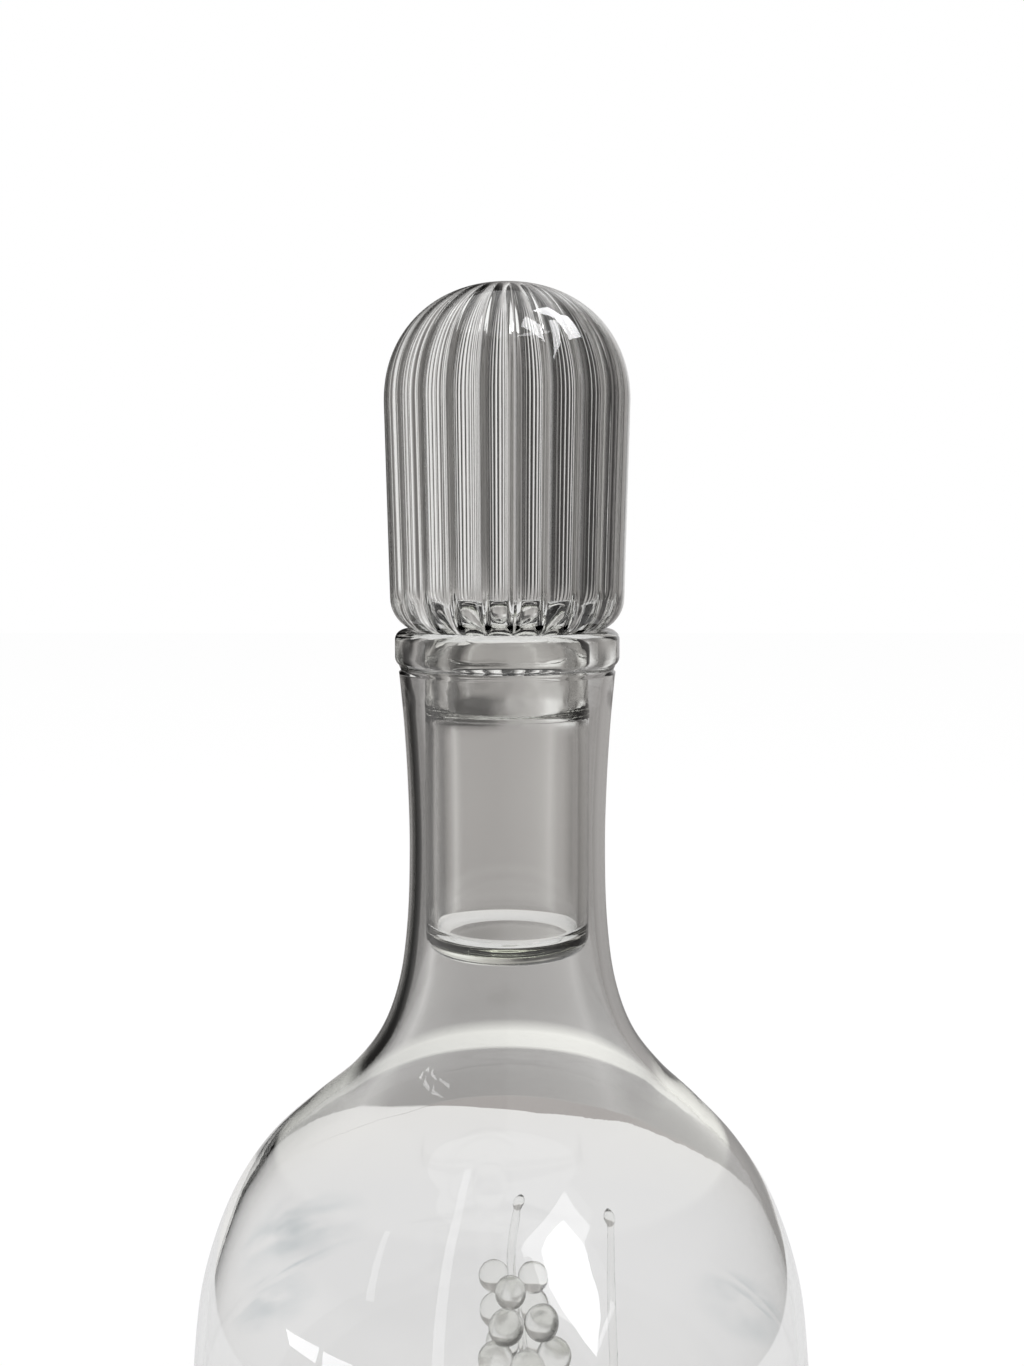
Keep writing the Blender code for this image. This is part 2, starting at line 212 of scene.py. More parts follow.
class Term:
    # a socket that Python's operators work on
    def __init__(self, tree, socket):
        self.tree = tree
        self.socket = socket

    def sum(self, operation, *terms):
        made = self.tree.nodes.new("ShaderNodeMath")
        made.operation = operation
        for entry, term in zip(made.inputs, terms):
            if isinstance(term, Term):
                self.tree.links.new(term.socket, entry)
            else:
                entry.default_value = term
        return Term(self.tree, made.outputs[0])

    def __add__(self, other):
        return self.sum("ADD", self, other)

    def __radd__(self, other):
        return self.sum("ADD", other, self)

    def __sub__(self, other):
        return self.sum("SUBTRACT", self, other)

    def __rsub__(self, other):
        return self.sum("SUBTRACT", other, self)

    def __mul__(self, other):
        return self.sum("MULTIPLY", self, other)

    def __rmul__(self, other):
        return self.sum("MULTIPLY", other, self)

    def __truediv__(self, other):
        return self.sum("DIVIDE", self, other)

    def __pow__(self, other):
        return self.sum("POWER", self, other)

    def atLeast(self, other):
        return self.sum("MAXIMUM", self, other)

    def atMost(self, other):
        return self.sum("MINIMUM", self, other)

    def size(self):
        return self.sum("ABSOLUTE", self)

    def held(self):
        return self.atLeast(0.0).atMost(1.0)

    def share(self, low, high):
        # 0 at low, 1 at high, and held there beyond them
        return ((self - low) / (high - low)).held()

    def beside(self, name):
        # another output of the same node
        return Term(self.tree, self.socket.node.outputs[name])


class Finish:
    # the nodes of a material or the world
    def __init__(self, owner):
        owner.use_nodes = True
        self.owner = owner
        self.tree = owner.node_tree
        self.tree.nodes.clear()

    def node(self, kind, settings, sockets, output=0):
        made = self.tree.nodes.new(kind)
        for name, value in settings.items():
            if name == "stops":
                self.setStops(made.color_ramp, value)
            else:
                setattr(made, name, value)
        for name, value in sockets.items():
            if isinstance(value, Term):
                self.tree.links.new(value.socket, made.inputs[name])
            else:
                made.inputs[name].default_value = value
        return Term(self.tree, made.outputs[output]) if made.outputs else None

    def setStops(self, ramp, stops):
        while len(ramp.elements) < len(stops):
            ramp.elements.new(1.0)
        for element, (place, level) in zip(ramp.elements, stops):
            element.position = place
            element.color = (*level, 1.0)

    def noise(self, place, scale, detail):
        return self.node("ShaderNodeTexNoise", {}, {"Vector": place, "Scale": scale, "Detail": detail})

    def ramp(self, stops, factor):
        return self.node("ShaderNodeValToRGB", {"stops": stops}, {"Fac": factor}, "Color")

    def mixed(self, factor, first, second):
        return self.node("ShaderNodeMix", {"data_type": "RGBA"}, {0: factor, 6: first, 7: second}, 2)

    def seen(self):
        # 1 where the camera sees it, straight or in glass, and 0 where it only lights something
        rays = self.node("ShaderNodeLightPath", {}, {}, "Is Camera Ray")
        return rays.atLeast(rays.beside("Is Glossy Ray")).atLeast(rays.beside("Is Transmission Ray"))


def opaque(colour):
    return (*colour, 1.0)


# Camera, at the photograph's place

camera = {
    "place": (0.0021, -0.304, 0.2195),
    "downDegrees": 5.6,
    "lensMillimetres": 42.17,
    "nearest": 0.02,
}

deselectAll()
bpy.ops.object.camera_add(location=camera["place"], rotation=(math.radians(90 - camera["downDegrees"]), 0, 0))
photoCamera = bpy.context.object
photoCamera.data.lens = camera["lensMillimetres"]
photoCamera.data.clip_start = camera["nearest"]
bpy.context.scene.camera = photoCamera
bpy.context.scene.view_settings.view_transform = "Standard"
print("camera placed")


# Glass: clear, faintly green-yellow where it is thick, with the drawing lines and the waves of hand work

glass = {
    "depthColour": (0.83, 0.87, 0.68),
    "depthDensity": 12.0,
    "smudgeScale": 55.0,
    "smudgeDetail": 5.0,
    "smudgeRange": (0.60, 0.72),
    "smudgeRoughness": 0.05,
    "smudgeColour": (0.9, 0.9, 0.9),
    "paleShare": 0.02,
    "lineDetail": 3.0,
    "lineClimb": 1.5,  # how fast the lines change on the way up
    "waveDetail": 1.0,
    "tooledDetail": 1.5,
}

# lines and waves are given by their scale and their height; the tooled part is where the hot glass was
# worked with tools: it starts at the first height, is full at the second and ends at the third
vesselLook = {
    "tint": (0.978, 0.976, 0.976),
    "ior": 1.47,
    "roughness": 0.0,
    "lines": (30.0, 0.000002),
    "waves": (45.0, 0.00002),
    "tooled": (0.1850, 0.1885, 0.2035),
    "tooledWaves": (130.0, 0.00016),
}

stopperLook = {
    "tint": (0.985, 0.983, 0.982),
    "ior": 1.47,
    "roughness": 0.0,
    "lines": (46.0, 0.000002),
    "waves": (60.0, 0.00001),
    "tooled": (0.1800, 0.1850, 0.2010),
    "tooledWaves": (170.0, 0.00020),
}

vineLook = {
    "tint": (0.998, 0.998, 0.994),
    "ior": 1.34,
    "roughness": 0.22,
    "lines": (10.0, 0.0),
    "waves": (260.0, 0.00020),
    "tooled": (0.0, 0.001, 0.1),
    "tooledWaves": (500.0, 0.00005),
}


def makeGlass(name, look):
    made = Finish(bpy.data.materials.new(name))
    place = made.node("ShaderNodeTexCoord", {}, {}, "Object")
    flat = made.node("ShaderNodeVectorMath", {"operation": "MULTIPLY"}, {0: place, 1: (1.0, 1.0, 0.0)})
    around = made.node("ShaderNodeVectorMath", {"operation": "NORMALIZE"}, {0: flat})
    upwards = (0.0, 0.0, glass["lineClimb"])
    climb = made.node("ShaderNodeVectorMath", {"operation": "MULTIPLY"}, {0: place, 1: upwards})
    drawn = made.node("ShaderNodeVectorMath", {"operation": "ADD"}, {0: around, 1: climb})
    height = made.node("ShaderNodeSeparateXYZ", {}, {"Vector": place}, "Z")
    scale, depth = look["lines"]
    relief = made.noise(drawn, scale, glass["lineDetail"]) * depth
    scale, depth = look["waves"]
    relief = relief + made.noise(place, scale, glass["waveDetail"]) * depth
    low, full, high = look["tooled"]
    tooled = height.share(low, full) * (1 - height.share(high, high + full - low))
    scale, depth = look["tooledWaves"]
    relief = relief + made.noise(place, scale, glass["tooledDetail"]) * tooled * depth
    uneven = made.node("ShaderNodeBump", {}, {"Strength": 1.0, "Distance": 1.0, "Height": relief})
    smudge = made.noise(place, glass["smudgeScale"], glass["smudgeDetail"]).share(*glass["smudgeRange"])
    tint = made.mixed(smudge * glass["paleShare"], opaque(look["tint"]), opaque(glass["smudgeColour"]))
    surface = made.node("ShaderNodeBsdfPrincipled", {}, {
        "Base Color": tint,
        "Roughness": smudge * glass["smudgeRoughness"] + look["roughness"],
        "Normal": uneven,
        "IOR": look["ior"],
        "Transmission Weight": 1.0,
    })
    inside = made.node("ShaderNodeVolumeAbsorption", {}, {
        "Color": opaque(glass["depthColour"]),
        "Density": glass["depthDensity"],
    })
    made.node("ShaderNodeOutputMaterial", {}, {"Surface": surface, "Volume": inside})
    return made.owner


vesselGlass = makeGlass("vesselGlass", vesselLook)
stopperGlass = makeGlass("stopperGlass", stopperLook)
vineGlass = makeGlass("vineGlass", vineLook)


# Vessel, with the lip melted onto the neck

# the flare, shoulder and lower shares shape the outline, in pairs of how far down and how far out
vessel = {
    "bellyHeight": 0.0570,
    "waistHeight": 0.1580,
    "neckRadius": 0.0188,
    "mouthFlare": 0.0019,
    "wall": 0.0023,
    "bellyWall": 0.0020,
    "thinsBelow": 0.0950,
    "baseRadius": 0.0340,
    "baseThickness": 0.0035,
    "footRing": 0.0090,
    "puntHeight": 0.0025,
    "neckOffset": 0.0012,
    "bendShares": (0.376, 0.574),
    "flareShares": ((0.0, 1.0), (0.12, 0.77), (0.35, 0.42), (0.65, 0.13), (1.0, 0.0)),
    "shoulderShares": ((0.0, 0.0), (0.14, 0.012), (0.26, 0.053), (0.36, 0.143), (0.445, 0.300),
                       (0.52, 0.500), (0.60, 0.693), (0.70, 0.843), (0.84, 0.955), (1.0, 1.0)),
    "lowerShares": ((0.0, 1.0), (0.2, 0.967), (0.4, 0.862), (0.6, 0.680), (0.78, 0.435), (0.92, 0.195),
                    (1.0, 0.0)),
    "curveSteps": 5,
    "shoulderSteps": 11,
    "floorSteps": 6,
    "puntSteps": 9,
    "segments": 240,
}

lip = {
    "height": 0.0070,
    "overhang": 0.00065,
    "inset": 0.0011,
    "rounding": 0.0019,
    "seatDegrees": (235, -50),  # where the rounding ends at the bore and at the groove
    "grooveDepth": 0.0005,
    "grooveHeight": 0.0007,
    "cornerSteps": 8,
}

vesselLow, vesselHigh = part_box("carafe_body")
bellyRadius = (vesselHigh.x - vesselLow.x) / 2
neckTop = vesselHigh.z
neckTopRadius = vessel["neckRadius"] + vessel["mouthFlare"]
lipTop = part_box("lip_ring")[1].z
lipRadius = neckTopRadius + lip["overhang"]
mouthRadius = neckTopRadius - vessel["wall"] - lip["inset"]


def lowerOutline(widest, foot, footHeight):
    shares = [(between(foot, widest, spread), between(vessel["bellyHeight"], footHeight, drop))
              for drop, spread in vessel["lowerShares"]]
    return smoothCurve(shares, vessel["curveSteps"])


def upperOutline():
    neck, waist, belly = vessel["neckRadius"], vessel["waistHeight"], vessel["bellyHeight"]
    flare = [(between(neck, neckTopRadius, spread), between(neckTop, waist, drop))
             for drop, spread in vessel["flareShares"]]
    shoulder = [(between(neck, bellyRadius, spread), between(waist, belly, drop))
                for drop, spread in vessel["shoulderShares"]]
    return smoothCurve(flare[:-1] + shoulder, vessel["shoulderSteps"])


def wallAt(height):
    thick = ease(shareOf(height, vessel["bellyHeight"], vessel["thinsBelow"]))
    return between(vessel["bellyWall"], vessel["wall"], thick)


def lipOutline():
    # from the bore up over the lip and down to the groove under it
    rounding, steps = lip["rounding"], lip["cornerSteps"]
    low, high = lipTop - lip["height"] + rounding, lipTop - rounding
    inside, outside = mouthRadius + rounding, lipRadius - rounding
    boreSeat, grooveSeat = lip["seatDegrees"]
    outline = arc((inside, low), rounding, boreSeat, 180, steps)
    outline += arc((inside, high), rounding, 180, 90, steps)
    outline += arc((outside, high), rounding, 90, 0, steps)
    outline += arc((outside, low), rounding, 0, grooveSeat, steps)
    return outline + [(neckTopRadius - lip["grooveDepth"], neckTop - lip["grooveHeight"] / 2)]


def leanNeck(piece):
    # the neck stands a little to the right of the belly's middle
    low, high = [between(vessel["bellyHeight"], vessel["waistHeight"], share)
                 for share in vessel["bendShares"]]
    for vertex in piece.data.vertices:
        rise = shareOf(vertex.co.z, low, high)
        vertex.co.x += vessel["neckOffset"] * (1 - math.cos(math.pi * rise)) / 2


def makeVessel():
    outer = upperOutline()
    inner = setIn(outer, wallAt)
    floorHeight = vessel["puntHeight"] + vessel["baseThickness"]
    outerFoot = lowerOutline(bellyRadius, vessel["baseRadius"], 0.0)
    innerFoot = lowerOutline(bellyRadius - vessel["bellyWall"], vessel["baseRadius"] - vessel["wall"],
                             floorHeight)
    grooveSkip = sum(height > neckTop - lip["grooveHeight"] for _, height in outer)
    # from the middle of the floor up the inside, over the lip and down the outside to under the punt
    outline = straight((0.0, floorHeight), innerFoot[-1], vessel["floorSteps"])
    outline += innerFoot[:0:-1]
    outline += inner[:grooveSkip - 1:-1]
    outline += lipOutline()
    outline += outer[grooveSkip:-1]
    outline += outerFoot
    punt = vessel["baseRadius"] - vessel["footRing"]
    outline += arc((0.0, 0.0), punt, 0, 90, vessel["puntSteps"], rise=vessel["puntHeight"])
    piece = turnedPiece("carafe_vessel", outline, vessel["segments"])
    leanNeck(piece)
    finishPiece(piece, vesselGlass, "vessel", "vessel_glass", "carafe_body", "lip_ring")


makeVessel()
print("vessel made")


# Stopper: knob, thick joint and plug as one hollow piece of glass

knob = {
    "taper": 0.0009,
    "domeHeight": 0.0220,
    "domePower": 2.12,
    "footRounding": 0.0066,
    "wall": 0.0016,
    "floor": 0.0020,
    "cavityRounding": 0.0064,
    "flutes": 20,
    "fluteDepth": 0.0022,
    "fluteEnds": (0.0062, 0.0104),  # out from the axis, where they start at the top and are full
    "ribDegrees": 4.3,
    "ribRounding": 0.16,
    "segmentsPerFlute": 20,
    "domeSteps": 28,
    "sideSteps": 6,
    "footSteps": 12,
    "cavitySteps": 10,
}

plug = {
    "wall": 0.0020,
    "floor": 0.0034,
    "rounding": 0.0038,
    "boreRounding": 0.0028,
    "jointWall": 0.0042,
    "jointRounding": 0.0012,
    "jointSlope": 0.0026,
    "outerSteps": 12,
    "boreSteps": 8,
    "throatSteps": 5,
    "jointSteps": 6,
    "cornerSteps": 8,
}

knobLow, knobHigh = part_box("stopper_knob")
plugLow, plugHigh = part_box("stopper_plug")
seat, knobTop = knobLow.z, knobHigh.z
domeFoot = knobTop - knob["domeHeight"]
knobRadius = (knobHigh.y - knobLow.y) / 2
knobFootRadius = knobRadius - knob["taper"]
plugBottom = plugLow.z
plugRadius = (plugHigh.y - plugLow.y) / 2
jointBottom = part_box("stopper_collar")[0].z

# the hollow: the knob's cavity, the throat through the thick joint and the plug's bore
cavityRadius = knobRadius - knob["wall"]
cavityFootRadius = knobFootRadius - knob["wall"]
cavityFloor = seat + knob["floor"]
throatRadius = plugRadius - plug["jointWall"]
boreRadius = plugRadius - plug["wall"]
boreFloor = plugBottom + plug["floor"]


def dome(radius, height, top, steps):
    # from the top in the middle down to the full radius, a little fuller than an ellipse
    power = 2 / knob["domePower"]
    turns = [math.pi / 2 * i / steps for i in range(steps)]
    return [(radius * math.sin(turn) ** power, top - height * (1 - math.cos(turn) ** power))
            for turn in turns]


def stopperOutside():
    outline = dome(knobRadius, knob["domeHeight"], knobTop, knob["domeSteps"])
    rounding = knob["footRounding"]
    corner = (knobFootRadius - rounding, seat + rounding)
    outline += straight((knobRadius, domeFoot), (knobFootRadius, corner[1]), knob["sideSteps"])
    outline += arc(corner, rounding, 0, -90, knob["footSteps"])
    rounding = plug["rounding"]
    corner = (plugRadius - rounding, plugBottom + rounding)
    outline += straight((plugRadius, seat), (plugRadius, corner[1]), plug["outerSteps"])
    outline += arc(corner, rounding, 0, -90, plug["cornerSteps"])
    return outline + [(0.0, plugBottom)]


def stopperHollow():
    outline = dome(cavityRadius, knob["domeHeight"] - knob["wall"], knobTop - knob["wall"], knob["domeSteps"])
    rounding = knob["cavityRounding"]
    corner = (cavityFootRadius - rounding, cavityFloor + rounding)
    outline += straight((cavityRadius, domeFoot), (cavityFootRadius, corner[1]), knob["sideSteps"])
    outline += arc(corner, rounding, 0, -90, knob["cavitySteps"])
    rounding = plug["jointRounding"]
    corner = (throatRadius + rounding, cavityFloor - rounding)
    outline += arc(corner, rounding, 90, 180, plug["jointSteps"])
    # the throat widens to the bore in a soft step
    half, slope = (boreRadius - throatRadius) / 2, plug["jointSlope"]
    high, low, steps = jointBottom + slope, jointBottom - slope, plug["cornerSteps"]
    outline += straight((throatRadius, corner[1]), (throatRadius, high), plug["throatSteps"])[1:]
    outline += arc((throatRadius + half, high), half, 180, 270, steps, rise=slope)
    outline += arc((boreRadius - half, low), half, 90, 0, steps, rise=slope)[1:]
    rounding = plug["boreRounding"]
    corner = (boreRadius - rounding, boreFloor + rounding)
    outline += straight((boreRadius, low), (boreRadius, corner[1]), plug["boreSteps"])[1:]
    outline += arc(corner, rounding, 0, -90, steps)
    return outline + [(0.0, boreFloor)]


def ribShare(turn):
    # how far the glass stands in: 0 in the middle of a round flute and 1 on the crest of a rib
    soft = knob["ribRounding"]
    steps = (turn - math.radians(knob["ribDegrees"] - 90)) * knob["flutes"] / math.tau
    fromCrest = 2 * abs(steps - round(steps))
    fromCrest = (math.hypot(fromCrest, soft) - soft) / (math.hypot(1, soft) - soft)
    half = math.pi * cavityRadius / knob["flutes"]
    fluteRadius = (half ** 2 + knob["fluteDepth"] ** 2) / (2 * knob["fluteDepth"])
    across = half * (1 - fromCrest)
    return (fluteRadius - math.sqrt(fluteRadius ** 2 - across ** 2)) / knob["fluteDepth"]


def pressFlutes(hollow):
    # ribs stand in from the knob's inner wall, and fade out towards the top and the throat
    for vertex in hollow.data.vertices:
        reach = math.hypot(vertex.co.x, vertex.co.y)
        if vertex.co.z >= domeFoot:
            share = min(1.0, reach / cavityRadius) * ease(shareOf(reach, *knob["fluteEnds"]))
        elif vertex.co.z >= cavityFloor:
            share = shareOf(reach, throatRadius, cavityFootRadius)
        else:
            share = 0.0
        if share > 0:
            pressed = knob["fluteDepth"] * share * ribShare(math.atan2(vertex.co.y, vertex.co.x))
            vertex.co.x *= 1 - pressed / reach
            vertex.co.y *= 1 - pressed / reach


def makeStopper():
    segments = knob["flutes"] * knob["segmentsPerFlute"]
    piece = turnedPiece("carafe_stopper", stopperOutside(), segments)
    hollow = turnedPiece("stopper_hollow", stopperHollow(), segments, hollow=True)
    pressFlutes(hollow)
    joinInto(piece, hollow)
    shift(piece, vessel["neckOffset"])
    finishPiece(piece, stopperGlass, "stopper", "stopper_glass",
                "stopper_knob", "stopper_collar", "stopper_plug")


makeStopper()
print("stopper made")


# Bunch of glass grapes on its stem, with a shoot beside it

grape = {
    "unevenness": 0.075,
    "shapes": 5,
    "firstSeed": 11,
    "levels": 3,
}

rods = {
    "offset": 0.0046,
    "sides": 20,
    "steps": 3,
    "levels": 1,
    "radius": 0.00085,
    "footSpread": 0.0032,
    "tipRadius": 0.00118,
    "tipLength": 0.0036,
    # how far along the drop at the tip, and its radius there
    "dropShares": ((0.0, 0.53), (0.14, 0.62), (0.30, 0.86), (0.46, 0.99), (0.62, 0.96), (0.78, 0.76),
                   (0.92, 0.42), (1.0, 0.12)),
    "stemLean": 0.0027,
    "stemLeanShares": ((0.0, 0.0), (0.4, 0.0), (0.58, 0.06), (0.68, 0.40), (0.77, 0.88), (0.84, 1.0),
                       (0.92, 0.74), (1.0, 0.26)),
    "shootSeat": 0.0100,
    "shootSpread": 0.0182,
    "shootTipLean": 0.0018,
    "shootShares": ((0.0, 0.0), (0.04, 0.01), (0.1, 0.2), (0.18, 0.58), (0.28, 0.88), (0.42, 1.0)),
}

footGob = {
    "rounding": 0.0017,
    "crown": 0.0006,
    "underside": 0.94,
    "edge": 0.0004,
    "crownSteps": 6,
    "rimSteps": 8,
    "segments": 64,
}


def grapeShape(seed):
    # a ball whose skin is drawn in and out a little, as glass that ran while it was hot
    deselectAll()
    bpy.ops.mesh.primitive_ico_sphere_add(subdivisions=1, radius=1.0)
    ball = bpy.context.object
    bpy.ops.object.mode_set(mode="EDIT")
    bpy.ops.mesh.select_all(action="SELECT")
    bpy.ops.transform.vertex_random(offset=grape["unevenness"], seed=seed)
    bpy.ops.object.mode_set(mode="OBJECT")
    settle(ball)
    return smoothed(ball, grape["levels"])


def makeGrapes():
    shapes = [grapeShape(grape["firstSeed"] + i) for i in range(grape["shapes"])]
    chance = random.Random(grape["firstSeed"])
    for name in sorted(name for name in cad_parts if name.startswith("grape_")):
        low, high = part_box(name)
        piece = chance.choice(shapes).copy()
        piece.data = piece.data.copy()
        piece.name = "glass_" + name
        bpy.context.scene.collection.objects.link(piece)
        deselectAll()
        piece.select_set(True)
        bpy.context.view_layer.objects.active = piece
        piece.rotation_euler = [chance.uniform(0, math.tau) for _ in range(3)]
        settle(piece)
        fitInto(piece, low, high)
        finishPiece(piece, vineGlass, "vessel", "vine_glass", name)
    for ball in shapes:
        bpy.data.objects.remove(ball)


def rodStations(route):
    # the route's (x, height) with the rod's radius there: a spread foot, an even rod and a drop at the tip
    bottom, top = route[0][1], route[-1][1]
    path = [point for point in route if point[1] < top - rods["tipLength"]]
    stations = []
    for x, height in path:
        spread = 1 - ease(shareOf(height, bottom, bottom + rods["footSpread"]))
        stations.append((x, height, between(rods["radius"], rods["tipRadius"], spread)))
    end = route[-1][0]
    for share, size in rods["dropShares"]:
        lean = between(path[-1][0], end, share)
        stations.append((lean, top - rods["tipLength"] * (1 - share), rods["tipRadius"] * size))
    return stations


def makeRods():
    low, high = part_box("bunch_stem")
    stemRoute = smoothCurve([(rods["offset"] - rods["stemLean"] * lean, between(low.z, high.z, rise))
                             for rise, lean in rods["stemLeanShares"]], rods["steps"])
    low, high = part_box("vine_shoot")
    seatX, spreadX = rods["shootSeat"], rods["shootSpread"]
    bends = [(rods["offset"] + between(seatX, spreadX, out), between(low.z, high.z, up))
             for up, out in rods["shootShares"]]
    bends.append((rods["offset"] + spreadX - rods["shootTipLean"], high.z))
    for name, route in (("bunch_stem", stemRoute), ("vine_shoot", smoothCurve(bends, rods["steps"]))):
        piece = smoothed(drawnRod("glass_" + name, rodStations(route), rods["sides"]), rods["levels"])
        finishPiece(piece, vineGlass, "vessel", "vine_glass", name)


def makeFootGob():
    # a gob that was pressed onto the floor: a little higher in the middle, and rounded at its rim
    low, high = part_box("vine_foot")
    radius, rounding = (high.x - low.x) / 2, footGob["rounding"]
    rim = (radius - rounding, high.z - footGob["crown"] - rounding)
    outline = arc((0.0, rim[1] + rounding), rim[0], 90, 0, footGob["crownSteps"], rise=footGob["crown"])[:-1]
    outline += arc(rim, rounding, 90, 0, footGob["rimSteps"])
    outline += [(radius, low.z + footGob["edge"]), (radius * footGob["underside"], low.z), (0.0, low.z)]
    piece = turnedPiece("glass_vine_foot", outline, footGob["segments"])
    shift(piece, (low.x + high.x) / 2)
    finishPiece(piece, vineGlass, "vessel", "vine_glass", "vine_foot")


makeGrapes()
makeRods()
makeFootGob()
print("bunch made")


# Floor, lamps, and the cards that the glass shows in place of a room: grey walls, a table top and windows

stage = {
    "floorSize": 6.0,
    "floorColour": (0.9, 0.9, 0.9),
    "floorGap": 0.0004,
    "floorGlow": 0.93,
    "worldFill": 0.88,
    # name, place, size and power
    "lamps": (("key_lamp", (0.9, -1.1, 1.5), 1.2, 24.0), ("fill_lamp", (-1.3, -0.6, 1.1), 1.4, 14.0)),
    "lampAim": (0, 0, 0.12),
    "windowBlue": 1.02,
    "bounces": 32,
}

walls = {
    "radius": 0.320,
    "height": 0.70,
    "segments": 160,
    # degrees from straight behind, to the right, and how pale the wall is there, out of 255
    "lower": ((-180, 172), (-150, 180), (-110, 200), (-85, 208), (-66, 205), (-56, 150), (-49, 60),
              (-43, 34), (-29, 34), (-24, 70), (-20, 132), (-16, 176), (-14, 204), (-11, 172),
              (-5, 165), (0, 168), (5, 175), (8, 184), (10, 200), (13, 174), (20, 167), (26, 162),
              (38, 168), (46, 158), (54, 142), (64, 126), (76, 100), (90, 90), (106, 118), (125, 165),
              (150, 180)),
    "upper": ((-180, 124), (-150, 104), (-130, 98), (-110, 125), (-92, 109), (-77, 130), (-64, 165),
              (-52, 150), (-42, 62), (-36, 30), (-22, 28), (-18, 34), (-15, 60), (-12, 50), (-7, 46),
              (-3, 100), (0, 158), (4, 184), (8, 200), (12, 226), (17, 252), (24, 254), (29, 240),
              (34, 200), (40, 146), (46, 100), (56, 122), (77, 125), (92, 142), (112, 166), (150, 168)),
    "change": (0.14, 0.20),  # the heights between which the lower part turns into the upper
    "lowerWarmth": (0.06, 0.03),
    "upperWarmth": (0.05, 0.02),
    "dim": (0.02, 0.11),  # the heights between which the shade near the floor fades out
    "dimShare": 0.15,
    "dimColour": (0.0, 0.02, 0.02),
    # how high the pale table top reaches up on the wall, in metres, at the same kind of degrees
    "tableRise": ((-48, 0.0), (-44, 0.036), (-38, 0.048), (-32, 0.047), (-26, 0.042), (-21, 0.033),
                  (-16, 0.021), (-13, 0.014), (-9, 0.004), (-7.2, 0.0), (24, 0.0), (29, 0.004),
                  (32, 0.006), (36, 0.005), (40, 0.0)),
    "tallestRise": 0.05,
    "riseSoft": 0.001,
}

table = {
    "height": -0.0002,
    "levels": (232, 232, 233),
    "far": (238, 237, 236),
    "farRange": (0.22, 0.30),
    # its back edge, and between which degrees the wall bounds it
    "edge": ((-0.0401, 0.3165), (-0.0120, 0.2980), (0.0143, 0.2901), (0.0426, 0.2895), (0.0743, 0.2960),
             (0.1080, 0.2960)),
    "round": (24, 353),
    "turnStep": 4,
    "rim": 0.001,
    "beyondHeight": -0.0003,
    "beyond": (170, 165, 163),
    # grey marks on the table top, let through where the vein noise is high: x, y and size
    "marks": ((-0.080, 0.190, 0.034), (-0.074, 0.134, 0.018), (0.079, 0.132, 0.022)),
    "markSquash": 0.8,
    "markStrength": 1.6,
    "markLevels": (203, 208, 211),
    "veinScale": 42.0,
    "veinDetail": 3.0,
    "veinRange": (0.36, 0.66),
}

# a pale band just outside the shoulder, seen only through the glass: it stands in for the light that thick
# glass gathers into a bright arc there
shoulderGlow = {
    "gap": 0.0007,
    "reach": (0.0970, 0.1190),
    "lowEdge": 0.1060,
    "sideDrop": 0.0062,
    "sideAngles": (0.96, 1.10),
    "lowSoft": 0.0012,
    "highEdge": 0.1157,
    "highSoft": 0.0038,
    "left": (0.74, 0.74, 0.71),
    "right": (1.08, 1.08, 1.03),
    "segments": 128,
}

